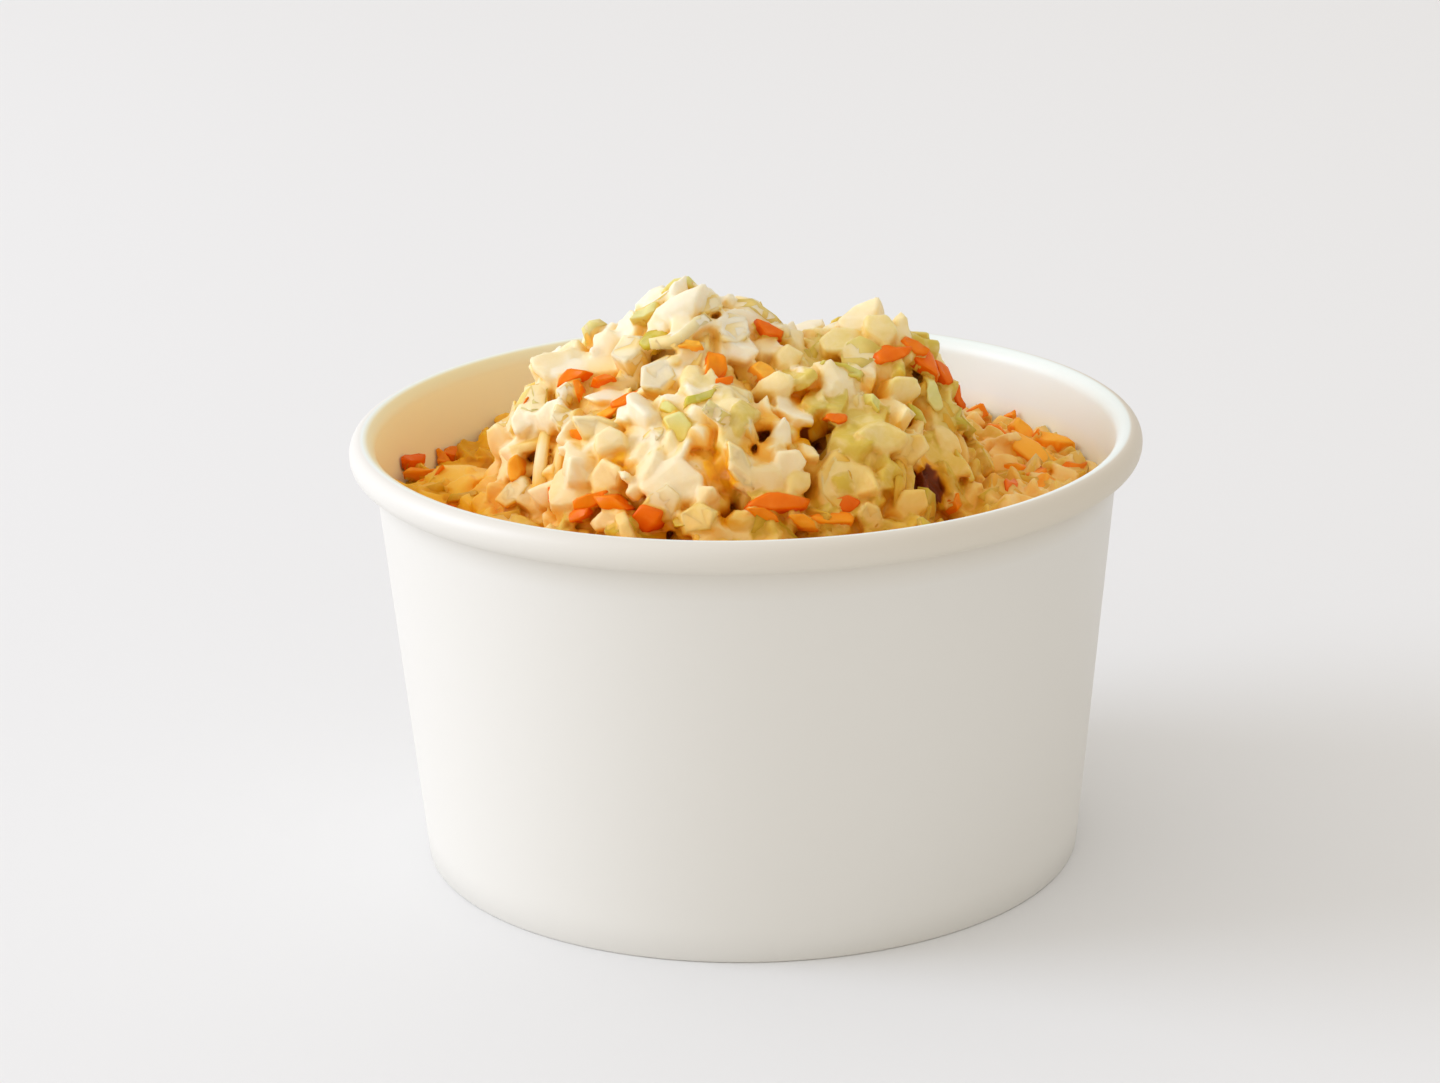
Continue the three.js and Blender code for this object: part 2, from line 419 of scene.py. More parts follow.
def tub_profile():
    """Radius and height of the tub's section, from the axis under the base to the axis on it."""
    start = -math.pi / 2 - ROLL_TUCK
    sweep = math.pi - start
    roll = []
    for i in range(ROLL_STEPS + 1):
        angle = start + sweep * i / ROLL_STEPS
        radius = ROLL_CENTRE_RADIUS + ROLL_WIDTH / 2 * math.cos(angle)
        roll.append((radius, ROLL_CENTRE_HEIGHT + ROLL_HEIGHT / 2 * math.sin(angle)))
    under_roll = roll[0][1] - ROLL_GAP
    foot = [
        (0, BASE_RISE),
        (outer_radius(BASE_RISE) - HEM - EDGE, BASE_RISE),
        (outer_radius(BASE_RISE) - HEM, BASE_RISE - EDGE),
        (FOOT_RADIUS - HEM, EDGE),
        (FOOT_RADIUS - HEM + EDGE, 0),
        (FOOT_RADIUS - EDGE, 0),
        (FOOT_RADIUS, EDGE),
    ]
    wall = []
    for i in range(1, WALL_STEPS + 1):
        height = EDGE + (under_roll - EDGE) * i / WALL_STEPS
        wall.append((outer_radius(height), height))
    inside = []
    for i in range(1, WALL_STEPS):
        height = ROLL_CENTRE_HEIGHT + (FLOOR_HEIGHT + EDGE - ROLL_CENTRE_HEIGHT) * i / WALL_STEPS
        inside.append((inner_radius(height), height))
    inside += [
        (inner_radius(FLOOR_HEIGHT + EDGE), FLOOR_HEIGHT + EDGE),
        (inner_radius(FLOOR_HEIGHT) - EDGE, FLOOR_HEIGHT),
        (0, FLOOR_HEIGHT),
    ]
    return foot + wall + roll + inside


def make_tub():
    bm = turned(tub_profile(), SPIN_STEPS)
    bmesh.ops.recalc_face_normals(bm, faces=bm.faces[:])
    add_seam(bm)
    bm.verts.index_update()
    lined = [float(is_inside(vert.co)) for vert in bm.verts]
    painted_glow = [painted_glow_share(vert.co) for vert in bm.verts]
    rolled = [painted_rim_shade_share(vert.co) for vert in bm.verts]
    tub = object_from_bmesh("paper_tub", bm)
    set_attribute(tub.data, "lined", lined)
    set_attribute(tub.data, "painted_glow", painted_glow)
    set_attribute(tub.data, "rolled", rolled)
    return tub


def is_inside(place):
    """Whether a place on the tub is on its inner side, up to the rim's crest."""
    radius = math.hypot(place.x, place.y)
    if place.z > ROLL_CENTRE_HEIGHT:
        return radius < ROLL_CENTRE_RADIUS
    return radius < inner_radius(place.z) + BOARD / 2 and place.z > BASE_RISE + BOARD / 2


def painted_glow_share(place):
    """How much painted warm glow a place inside has: most on the left, where the lamp's light comes through
    the board, and where the slaw touches.
    """
    if not is_inside(place):
        return 0
    turn = math.atan2(place.y, place.x) - PAINTED_GLOW_TURN
    turn = abs(math.remainder(turn, 2 * math.pi))
    side_share = max(0, math.cos(min(turn / PAINTED_GLOW_SPREAD, 1) * math.pi / 2)) ** PAINTED_GLOW_FADE
    touch_share = PAINTED_GLOW_TOUCH * min(1, max(0, (PAINTED_GLOW_TOP - place.z) / PAINTED_GLOW_RISE))
    return max(side_share, touch_share) * min(1, max(0, (TUB_HEIGHT - place.z) / PAINTED_GLOW_EDGE))


def painted_rim_shade_share(place):
    """How much painted warm shade and painted slaw reflection a place has on the rim: most on the roll's
    right, away from the lamp, and where the painted glow is.
    """
    if is_inside(place):
        up_the_roll = min(1, max(0, 2 * (place.z - ROLL_CENTRE_HEIGHT) / ROLL_HEIGHT))
        return up_the_roll * max(RIM_PAINTED_SHADE, painted_glow_share(place))
    on_roll = place.z > ROLL_CENTRE_HEIGHT - ROLL_HEIGHT / 2
    return on_roll * min(1, max(0, RIM_PAINTED_SHADE + RIM_PAINTED_SHADE_LEAN * place.x / RIM_RADIUS))


def add_seam(bm):
    """Raises the lap where the wall's two ends are glued, at the back."""
    half_angle = SEAM_WIDTH / 2 / RIM_RADIUS

    def in_seam(face):
        centre = face.calc_center_median()
        on_outside = abs(math.hypot(centre.x, centre.y) - outer_radius(centre.z)) < SEAM_REACH
        return on_outside and centre.y > 0 and abs(math.atan2(centre.x, centre.y)) < half_angle

    faces = [face for face in bm.faces if in_seam(face) and face.calc_area() > SEAM_LEAST_AREA]
    raised = bmesh.ops.extrude_face_region(bm, geom=faces)["geom"]
    for vert in only_verts(raised):
        out = Vector((vert.co.x, vert.co.y, 0)).normalized()
        vert.co += out * SEAM_STEP
    bmesh.ops.delete(bm, geom=[face for face in faces if face.is_valid], context="FACES")


# ---------- The heap's form ----------

def heap_height(x, y):
    """Height of the heap's surface at places in plan."""
    x = np.asarray(x, float)
    y = np.asarray(y, float)
    dx = x - MOUND_X
    dy = y - MOUND_Y
    angle = np.arctan2(dy, dx)
    foot = MOUND_RADIUS * (1 + OVAL * np.cos(2 * angle + 0.5) + THREE_CORNERED * np.sin(3 * angle))
    share = np.minimum(1, np.hypot(dx, dy) / foot)
    dome = (1 - share ** MOUND_ROUNDNESS) ** MOUND_SHOULDER
    waves = np.sin(x / WAVE_X + 0.8) * np.cos(y / WAVE_Y - 0.5)
    waves = waves + LONG_WAVE_SHARE * np.sin((x + y) / LONG_WAVE + 2.1)
    dip = SKIRT_DIP * np.exp(-((x - DIP_X) ** 2 + (y - DIP_Y) ** 2) / DIP_REACH ** 2) * (1 - dome)
    height = SKIRT_LEVEL + MOUND_HEIGHT * dome + LUMP * waves - dip
    for lobe_x, lobe_y, rise, reach in LOBES:
        away = np.hypot(x - lobe_x, y - lobe_y) / reach
        height = height + rise * np.exp(-away * away) * np.minimum(1, 3 * dome)
    return height


def heap_normal(x, y, step=0.8):
    """Unit vectors straight out of the heap's surface."""
    slope_x = (heap_height(x + step, y) - heap_height(x - step, y)) / (2 * step)
    slope_y = (heap_height(x, y + step) - heap_height(x, y - step)) / (2 * step)
    normal = np.stack([-slope_x, -slope_y, np.ones_like(slope_x)], axis=-1)
    return normal / np.linalg.norm(normal, axis=-1, keepdims=True)


def slaw_radius(height):
    """The slaw's widest radius at a height, clear of the wall."""
    return inner_radius(np.minimum(height, ROLL_CENTRE_HEIGHT)) - CLEARANCE


def seen_place(pixel_x, pixel_y):
    """The place on the heap's surface that shows at a pixel."""
    ray = (
        CAMERA_FORWARD
        + CAMERA_RIGHT * (pixel_x - IMAGE_WIDTH / 2) / FOCAL_PIXELS
        - CAMERA_UP * (pixel_y - IMAGE_HEIGHT / 2) / FOCAL_PIXELS
    )
    distances = np.arange(NEAREST_SEEN, FARTHEST_SEEN, SEEN_STEP)
    points = CAMERA_PLACE + distances[:, None] * ray
    inside = np.hypot(points[:, 0], points[:, 1]) < slaw_radius(SKIRT_LEVEL)
    points = points[inside]
    above = points[:, 2] - heap_height(points[:, 0], points[:, 1])
    under = above < 0
    if under.any():
        return points[np.argmax(under)]
    nearest = points[np.argmin(above)]
    nearest[2] = heap_height(nearest[0], nearest[1])
    return nearest


# ---------- What shows where ----------
# Pieces that show from the front: pixel x and y in the view, length and width in
# millimetres, angle in the view in degrees, tone from 0 to 1.
CARROT_SEEN = [
    (766, 331, 4.6, 1.8, -25, 0.3), (713, 374, 5.6, 2.8, 80, 0.7), (722, 392, 3.0, 2.2, 40, 0.5),
    (760, 374, 3.6, 3.2, 15, 0.95), (695, 352, 2.6, 1.6, 10, 1.0), (578, 381, 5.2, 1.5, 5, 0.5),
    (581, 394, 3.8, 1.3, -75, 0.6), (608, 384, 3.6, 1.3, 15, 0.5), (630, 402, 4.4, 1.5, 30, 0.55),
    (613, 414, 3.6, 1.8, 35, 0.9), (532, 409, 3.2, 1.2, 50, 0.7), (521, 471, 3.8, 2.4, -75, 0.9),
    (485, 491, 4.4, 3.0, -50, 0.3), (578, 440, 2.8, 2.2, -60, 0.8), (564, 500, 3.0, 2.0, -30, 0.4),
    (592, 501, 4.4, 2.0, 10, 0.6), (616, 505, 3.8, 1.8, -20, 0.6), (583, 513, 2.8, 1.8, 20, 0.5),
    (645, 522, 4.4, 2.6, 5, 0.35), (773, 506, 8.4, 2.4, 0, 0.45), (760, 516, 4.0, 1.6, -10, 0.7),
    (842, 509, 3.6, 2.6, -5, 0.3), (828, 523, 5.4, 1.7, 5, 0.85), (801, 524, 3.4, 1.6, -10, 0.9),
    (838, 420, 2.8, 1.6, 5, 0.35), (886, 355, 4.6, 2.2, 20, 0.3), (910, 351, 4.2, 2.2, -15, 0.5),
    (922, 364, 4.8, 3.0, -40, 0.4), (934, 376, 4.4, 2.4, -60, 0.3), (950, 394, 3.2, 1.6, -70, 0.3),
    (956, 410, 2.8, 1.4, -60, 0.5), (1012, 413, 2.0, 1.6, 30, 0.8), (1020, 437, 5.0, 2.8, -60, 1.0),
    (1034, 458, 6.0, 3.6, -50, 1.0), (1046, 478, 4.0, 2.4, 10, 0.9), (1054, 448, 4.4, 2.4, -30, 1.0),
    (409, 467, 3.4, 2.2, 35, 0.4), (428, 479, 4.6, 1.6, -20, 0.9), (440, 438, 2.6, 1.6, -40, 0.9),
    (452, 454, 3.4, 2.2, 20, 0.8), (948, 506, 2.0, 1.2, 60, 0.7),
]
GREEN_SEEN = [
    (683, 291, 4.2, 3.0, 20, 0.3), (655, 341, 4.2, 2.6, 50, 0.85), (652, 320, 3.4, 2.6, 30, 0.2),
    (683, 432, 4.6, 3.8, -60, 0.25), (671, 414, 3.4, 1.6, -50, 0.4), (697, 406, 4.2, 1.8, 25, 0.8),
    (842, 377, 6.0, 2.0, -5, 0.6), (820, 340, 3.6, 1.8, 15, 0.5), (871, 408, 3.4, 1.8, -50, 0.5),
    (932, 398, 4.8, 2.6, -65, 0.3), (912, 420, 3.4, 1.6, -60, 0.9), (1003, 487, 5.0, 2.6, 20, 0.55),
    (958, 470, 5.0, 1.6, -65, 0.4), (465, 499, 3.6, 1.8, 5, 0.7), (518, 512, 4.2, 3.2, 80, 0.2),
    (850, 476, 2.2, 1.4, 60, 0.6), (681, 520, 2.4, 1.6, 10, 0.8),
]
WHITE_SEEN = [
    (730, 338, 5.4, 4.4, 70, 0.95), (722, 326, 2.8, 1.8, 60, 1.0), (740, 350, 4.2, 3.6, 10, 0.9),
    (667, 382, 5.6, 4.8, 60, 0.8), (690, 386, 4.4, 2.8, 80, 0.4), (671, 484, 7.6, 4.8, -10, 0.95),
    (665, 505, 5.6, 4.6, 40, 0.95), (707, 497, 3.4, 2.4, 30, 0.75), (610, 480, 5.6, 3.8, 5, 0.55),
    (736, 401, 5.6, 4.0, 5, 0.55), (768, 396, 5.0, 2.4, -10, 0.5), (783, 360, 3.4, 3.0, 0, 0.45),
    (740, 466, 6.0, 2.8, -75, 0.6), (783, 466, 5.2, 4.0, 50, 0.85), (781, 438, 3.0, 2.4, 80, 0.9),
    (832, 484, 7.6, 5.4, 65, 0.6), (856, 486, 5.2, 4.4, -40, 0.5), (864, 312, 5.4, 4.6, 30, 0.7),
    (840, 322, 3.6, 3.0, 40, 0.5), (846, 345, 6.0, 4.0, 20, 0.4), (880, 335, 4.8, 3.4, -30, 0.45),
    (699, 309, 4.6, 3.2, 10, 0.6), (664, 322, 4.8, 3.2, 30, 0.6), (610, 348, 4.6, 4.4, 60, 0.7),
    (636, 360, 4.4, 4.0, 30, 0.6), (552, 358, 4.0, 3.2, 30, 0.5), (577, 356, 3.6, 3.2, 70, 0.55),
    (566, 398, 3.4, 2.6, 70, 0.95), (610, 398, 4.4, 2.4, 10, 0.95), (633, 417, 3.4, 3.0, 60, 0.9),
    (602, 437, 5.2, 3.6, -10, 0.6), (538, 428, 3.0, 2.8, 40, 1.0), (508, 452, 4.4, 2.8, 40, 0.8),
    (520, 425, 4.4, 3.0, 60, 0.65), (610, 522, 5.2, 2.2, 10, 0.8), (905, 507, 4.6, 3.6, 30, 0.5),
    (868, 520, 3.6, 3.0, 80, 0.7), (895, 400, 5.2, 4.0, 30, 0.45), (880, 440, 6.0, 4.4, -20, 0.4),
    (905, 450, 5.4, 4.0, 40, 0.5), (945, 440, 5.0, 3.4, -60, 0.55), (795, 485, 3.6, 3.0, 20, 0.5),
    (700, 520, 5.0, 3.6, 0, 0.45), (738, 522, 4.2, 3.0, 10, 0.4), (1000, 468, 4.2, 3.0, 10, 0.6),
    (1000, 430, 4.4, 3.0, 20, 0.5), (496, 482, 4.8, 3.6, 60, 0.8), (506, 504, 5.0, 3.8, 80, 0.75),
    (520, 496, 4.4, 3.0, 40, 0.9), (488, 510, 3.8, 2.6, 10, 0.6), (554, 420, 4.6, 3.4, 30, 0.85),
    (568, 424, 3.6, 2.8, -40, 0.7),
]
SHREDS_SEEN = [
    (541, 470, 9.5, 1.4, 88, 0.9), (562, 455, 7.5, 1.2, 85, 0.7), (960, 450, 8.0, 1.4, -70, 0.5),
]
# Gaps between pieces: pixel x and y in the view, radius and depth in millimetres.
GAPS_SEEN = [
    (814, 424, 1.1, 5.0), (803, 443, 1.4, 5.5), (801, 394, 1.1, 3.5),
    (768, 426, 0.9, 3.0), (926, 487, 1.7, 5.5), (909, 413, 1.0, 3.0),
    (871, 392, 0.7, 2.5), (722, 474, 1.4, 4.4), (705, 450, 0.9, 2.4),
    (622, 470, 1.2, 4.5), (655, 527, 1.3, 4.0), (733, 522, 1.0, 3.0),
    (755, 452, 1.0, 2.5),
]

PIT_WIDTH = 1.25  # of a sunk gap's mouth, for each millimetre of its radius

GAP_PLACES = [(seen_place(px, py), radius, depth) for px, py, radius, depth in GAPS_SEEN]


def pitted_height(x, y):
    """The heap's height with the gaps sunk into it."""
    height = heap_height(x, y)
    for place, radius, depth in GAP_PLACES:
        away = np.hypot(x - place[0], y - place[1]) / (radius * PIT_WIDTH)
        height = height - depth * np.exp(-away ** 4)
    return height


# ---------- Shapes of single pieces ----------

CHUNK_LENGTH = 5
CHUNK_WIDTH = 4
CHUNK_THICKNESS = 2.1
CHUNK_BEVEL = 0.22
CHUNK_SLANT = 0.3
CHUNK_SHIFT = 0.5
HOLLOW_INSET = 0.22
HOLLOW_DEPTH = 0.04
HOLLOW_LEAST_AREA = 1.5
FLAKE_LENGTH = 6.5
FLAKE_WIDTH = 5
FLAKE_THICKNESS = 1.1
FLAKE_EDGE = 0.6
# How far a piece's corners stand out, as a range of shares of its half width.
CHUNK_REACH = (0.62, 1.3)
BLOCK_REACH = (0.8, 1.2)
FLAKE_REACH = (0.6, 1.28)
DENT = 0.08
STRIP_BEVEL = 0.28
STRIP_STEPS = 7
STRIP_WANDER = 4
STRIP_TAPER = 0.55


def chunk_shape(random, corners, least, most):
    """A chopped rib one unit long, wide and thick: a bent block with slanted cut sides."""
    bm = bmesh.new()
    bmesh.ops.create_circle(bm, cap_ends=True, segments=corners, radius=0.5)
    for vert in bm.verts:
        vert.co *= random.uniform(least, most)
    bmesh.ops.scale(bm, vec=(CHUNK_LENGTH, CHUNK_WIDTH, 1), verts=bm.verts[:])
    made = bmesh.ops.extrude_face_region(bm, geom=bm.faces[:])["geom"]
    slope = random.uniform(-CHUNK_SLANT, CHUNK_SLANT, 2)
    shift = Vector(random.uniform(-CHUNK_SHIFT, CHUNK_SHIFT, 2)).to_3d()
    for vert in only_verts(made):
        vert.co *= random.uniform(least, 1)
        vert.co.z = CHUNK_THICKNESS * random.uniform(0.7, 1.2) + slope[0] * vert.co.x + slope[1] * vert.co.y
        vert.co += shift
    bmesh.ops.recalc_face_normals(bm, faces=bm.faces[:])
    bmesh.ops.bevel(
        bm, geom=bm.edges[:], offset=CHUNK_BEVEL, segments=1,
        profile=0.5, affect="EDGES", material=-1, clamp_overlap=True,
    )
    flat = [face for face in bm.faces if face.calc_area() > HOLLOW_LEAST_AREA]
    bmesh.ops.inset_individual(bm, faces=flat, thickness=HOLLOW_INSET, depth=HOLLOW_DEPTH)
    bend_and_dent(bm, random, random.uniform(-0.05, 0.1), random.uniform(-0.08, 0.08))
    bmesh.ops.translate(bm, verts=bm.verts[:], vec=(0, 0, -CHUNK_THICKNESS / 2))
    unit = (1 / CHUNK_LENGTH, 1 / CHUNK_WIDTH, 1 / CHUNK_THICKNESS)
    bmesh.ops.scale(bm, vec=unit, verts=bm.verts[:])
    return corners_and_triangles(bm)


def flake_shape(random, corners):
    """A scrap of leaf one unit long and wide: a bent plate with a ragged outline and thin edges."""
    bm = bmesh.new()
    bmesh.ops.create_circle(bm, cap_ends=True, segments=corners, radius=0.5)
    for vert in bm.verts:
        vert.co *= random.uniform(*FLAKE_REACH)
    bmesh.ops.scale(bm, vec=(FLAKE_LENGTH, FLAKE_WIDTH, 1), verts=bm.verts[:])
    middle = bm.faces[:]
    bmesh.ops.inset_region(bm, faces=middle, thickness=FLAKE_EDGE, use_even_offset=False)
    bmesh.ops.poke(bm, faces=middle)
    bend_and_dent(bm, random, random.uniform(-0.04, 0.12), random.uniform(-0.12, 0.12))
    bmesh.ops.recalc_face_normals(bm, faces=bm.faces[:])
    bmesh.ops.solidify(bm, geom=bm.faces[:], thickness=FLAKE_THICKNESS)
    middle_height = sum(vert.co.z for vert in bm.verts) / len(bm.verts)
    bmesh.ops.translate(bm, verts=bm.verts[:], vec=(0, 0, -middle_height))
    unit = (1 / FLAKE_LENGTH, 1 / FLAKE_WIDTH, 1 / FLAKE_THICKNESS)
    bmesh.ops.scale(bm, vec=unit, verts=bm.verts[:])
    return corners_and_triangles(bm)


def bend_and_dent(bm, random, bend, twist):
    """Curls and twists a flat piece, and pushes its corners about a little."""
    for vert in bm.verts:
        x, y, _ = vert.co
        vert.co.z += bend * x * x + twist * x * y
        vert.co += Vector(random.uniform(-DENT, DENT, 3))


def strip_shape(random, bend):
    """A shred one unit long, wide and thick: a ribbon that narrows to its ends along an arc."""
    bm = bmesh.new()
    bmesh.ops.create_cube(bm, size=1)
    long_edges = [edge for edge in bm.edges if abs(edge.verts[0].co.x - edge.verts[1].co.x) > 0.5]
    bmesh.ops.bevel(
        bm, geom=long_edges, offset=STRIP_BEVEL, segments=1,
        profile=0.5, affect="EDGES", material=-1,
    )
    long_edges = [edge for edge in bm.edges if abs(edge.verts[0].co.x - edge.verts[1].co.x) > 0.5]
    bmesh.ops.subdivide_edges(bm, edges=long_edges, cuts=STRIP_STEPS)
    wander = random.uniform(-STRIP_WANDER, STRIP_WANDER)
    for vert in bm.verts:
        x, y, z = vert.co
        taper = 1 - STRIP_TAPER * abs(2 * x) ** 3
        vert.co.y = y * taper + wander * x * x + random.uniform(-0.06, 0.06)
        vert.co.z = z * taper - bend * x * x + random.uniform(-0.05, 0.05)
    return corners_and_triangles(bm)


# ---------- Scattering ----------

SEEN_OUT = 0.55  # a seen piece's share of facing straight out of the heap
SEEN_FRONT = 0.45  # and of facing the front
SEEN_TILT = 0.15
WALL_ROOM = 1.2
PLAN_STEP = 0.1
PLAN_JITTER = 1
CLUMP_SIZE = 6.5
CLUMP_RISE = 0.9
# Painted light and shade in the tone: creamier up high and towards the lamp on the left, yellower low down
# and on the right.
TONE_FALL = 0.026  # for each millimetre to the right
TONE_RISE = 0.036  # for each millimetre up
TONE_LEVEL = 58
FACING_LEAST = -0.3  # counts pieces just behind the skyline as well


def frame_on(normal, along):
    """Axes of a piece as columns: along, across and out."""
    along = along - normal * np.dot(along, normal)
    along /= np.linalg.norm(along)
    across = np.cross(normal, along)
    return np.stack([along, across, normal], axis=1)


def seen_pieces(random, rows, swell, thickness, lift, shapes, drift=0):
    """Pieces that show from the front, turned a little towards it."""
    pieces = []
    for px, py, length, width, degrees, tone in rows:
        point = seen_place(px, py)
        normal = heap_normal(point[0], point[1])
        out = SEEN_OUT * normal - SEEN_FRONT * CAMERA_FORWARD + random.uniform(-SEEN_TILT, SEEN_TILT, 3)
        out /= np.linalg.norm(out)
        angle = math.radians(degrees)
        along = CAMERA_RIGHT * math.cos(angle) + CAMERA_UP * math.sin(angle)
        pieces.append({
            "origin": point + out * lift,
            "axes": frame_on(out, along),
            "size": np.array([length * swell, width * swell, thickness * random.uniform(0.8, 1.2)]),
            "shape": shapes[random.integers(len(shapes))],
            "tone": min(1, max(0, tone + drift * painted_light_drift(point[0], point[2]))),
        })
    return pieces


def surface_places(count):
    """Places in plan that share the heap's surface evenly, steep sides and all."""
    widest = slaw_radius(SKIRT_LEVEL) - WALL_ROOM
    radii = np.arange(0, widest, PLAN_STEP)
    heights = (heap_height(MOUND_X + radii, MOUND_Y) + heap_height(MOUND_X - radii, MOUND_Y)) / 2
    area = np.cumsum(radii * np.hypot(PLAN_STEP, np.gradient(heights)))
    radius = np.interp((np.arange(count) + 0.5) / count * area[-1], area, radii)
    angle = np.arange(count) * GOLDEN_ANGLE
    inwards = 1 - radius / widest
    return MOUND_X * inwards + radius * np.cos(angle), MOUND_Y * inwards + radius * np.sin(angle)


def clump(x, y):
    """How far the pieces bunch up at a place in plan, from -1 to 1."""
    return 2 * noise.noise(Vector((x / CLUMP_SIZE, y / CLUMP_SIZE, 0.5)))


def scattered_pieces(
    random, count, sizes, lean, lift, tones, shapes, keep_off=(), behind_only=False, flow=0, drift=1,
):
    """Pieces spread evenly over the heap; the more flow, the more they lie down its slope."""
    pieces = []
    plan_x, plan_y = surface_places(count)
    plan_x = plan_x + random.uniform(-PLAN_JITTER, PLAN_JITTER, count)
    plan_y = plan_y + random.uniform(-PLAN_JITTER, PLAN_JITTER, count)
    normals = heap_normal(plan_x, plan_y)
    heights = heap_height(plan_x, plan_y)
    lifts = random.uniform(*lift, count) + [CLUMP_RISE * clump(x, y) for x, y in zip(plan_x, plan_y)]
    off_centres = np.array([centre for centre, reach in keep_off]).reshape(-1, 3)
    off_reaches = np.array([reach for centre, reach in keep_off])
    for i in range(count):
        out = normals[i] + random.normal(0, lean, 3)
        out /= np.linalg.norm(out)
        origin = np.array([plan_x[i], plan_y[i], heights[i]]) + normals[i] * lifts[i]
        size = np.array([random.uniform(low, high) for low, high in sizes])
        tone = random.uniform(*tones) + drift * painted_light_drift(plan_x[i], heights[i])
        tone = min(1, max(0, tone))
        shape = shapes[random.integers(len(shapes))]
        along = random.normal(0, 1, 3) - UP * flow
        if (np.linalg.norm(off_centres - origin, axis=1) < off_reaches).any():
            continue
        if behind_only and shows_in_front(origin, normals[i]):
            continue
        pieces.append(dict(origin=origin, axes=frame_on(out, along), size=size, shape=shape, tone=tone))
    return pieces


def painted_light_drift(x, height):
    """Painted light and shade in the tone: creamier high up and on the mound's left, towards the lamp,
    yellower low down and on its right.
    """
    on_mound = 1 - min(1, abs(x) / MOUND_RADIUS) ** 4
    return on_mound * (TONE_RISE * (height - TONE_LEVEL) - TONE_FALL * x)


def shows_in_front(place, normal):
    """Whether a place faces the front and isn't hidden by the tub's near wall."""
    to_viewer = CAMERA_PLACE - place
    faces = np.dot(to_viewer, normal) / np.linalg.norm(to_viewer) > FACING_LEAST
    over_rim = TUB_HEIGHT - (place[1] + RIM_RADIUS) * to_viewer[2] / -to_viewer[1]
    return faces and place[2] > over_rim - 1


def keep_in_tub(corners):
    """Moves corners that would cross the wall inwards, to touch it."""
    radius = np.hypot(corners[:, 0], corners[:, 1])
    limit = slaw_radius(corners[:, 2])
    share = np.where(radius > limit, limit / np.maximum(radius, 1e-6), 1)
    corners[:, 0] *= share
    corners[:, 1] *= share
    return corners


def joined_pieces(pieces):
    """All pieces as one set of corners and triangles, with each triangle's tone."""
    corners, triangles, corner_tones, triangle_tones = [], [], [], []
    count = 0
    for piece in pieces:
        shape_corners, shape_triangles = piece["shape"]
        corners.append((shape_corners * piece["size"]) @ piece["axes"].T + piece["origin"])
        triangles.append(shape_triangles + count)
        corner_tones.append(np.full(len(shape_corners), piece["tone"]))
        triangle_tones.append(np.full(len(shape_triangles), piece["tone"]))
        count += len(shape_corners)
    tones = np.concatenate(corner_tones), np.concatenate(triangle_tones)
    return keep_in_tub(np.concatenate(corners)), np.concatenate(triangles), tones


def object_from_arrays(name, corners, triangles, tones):
    """An object in metres from arrays in millimetres, with a tone on each corner."""
    mesh = bpy.data.meshes.new(name)
    mesh.from_pydata((corners * MM).tolist(), [], triangles.tolist())
    set_attribute(mesh, "tone", tones)
    mesh.polygons.foreach_set("use_smooth", np.ones(len(triangles), bool))
    return add_object(name, mesh)


def make_scatter(name, pieces):
    corners, triangles, (corner_tones, _) = joined_pieces(pieces)
    return object_from_arrays(name, corners, triangles, corner_tones)


def set_attribute(mesh, name, values):
    mesh.attributes.new(name, "FLOAT", "POINT").data.foreach_set("value", values)


def rows_of_three(items, name, kind=float):
    values = np.empty(len(items) * 3, kind)
    items.foreach_get(name, values)
    return values.reshape(-1, 3)


def mesh_arrays(mesh):
    """A mesh's corners in millimetres, its corner normals and its triangles."""
    mesh.calc_loop_triangles()
    corners = rows_of_three(mesh.vertices, "co") / MM
    normals = rows_of_three(mesh.vertex_normals, "vector")
    return corners, normals, rows_of_three(mesh.loop_triangles, "vertices", int)


# ---------- The dressed cabbage ----------

CORE_SINK = 4.2  # how far the bare core lies under the heap's surface
CORE_BELOW = 3  # and how far it goes on under the cut
CORE_ROOM = 0.5
CORE_RINGS = 60
CORE_SIDES = 110
SKIRT_RADIUS = 33
DRESSING_VOXEL = 0.3
DRESSING_SMOOTHING = 1
DRESSING_TRIANGLES = 190000
DRESSING_CUT = 41
FLOOR_ROOM = 0.2  # how much smaller the slaw is at the tub's floor
RELIEF_SIZE = 1.4
RELIEF_DEPTH = 0.14
RELIEF_FALLOFF = 0.8
RELIEF_RATIO = 2  # each layer of relief is this many times finer
RELIEF_LAYERS = 3


def bare_core():
    """The heap's bare core, with the gaps sunk in it."""
    bottom = DRESSING_CUT - CORE_BELOW
    edge = slaw_radius(SKIRT_LEVEL) - CORE_ROOM
    profile = [(0, bottom), (slaw_radius(bottom) - CORE_ROOM, bottom)]
    profile += [(edge * i / CORE_RINGS, SKIRT_LEVEL) for i in range(CORE_RINGS, -1, -1)]
    corners, triangles = corners_and_triangles(turned(profile, CORE_SIDES))
    top = corners[:, 2] > bottom + 1
    sink = CORE_SINK / heap_normal(corners[top, 0], corners[top, 1])[:, 2]
    corners[top, 2] = pitted_height(corners[top, 0], corners[top, 1]) - np.minimum(sink, 2 * CORE_SINK)
    return corners, triangles


def apply_modifiers(piece):
    """Replaces an object's mesh by what its modifiers make of it."""
    graph = bpy.context.evaluated_depsgraph_get()
    old = piece.data
    piece.data = bpy.data.meshes.new_from_object(piece.evaluated_get(graph), depsgraph=graph)
    piece.modifiers.clear()
    bpy.data.meshes.remove(old)


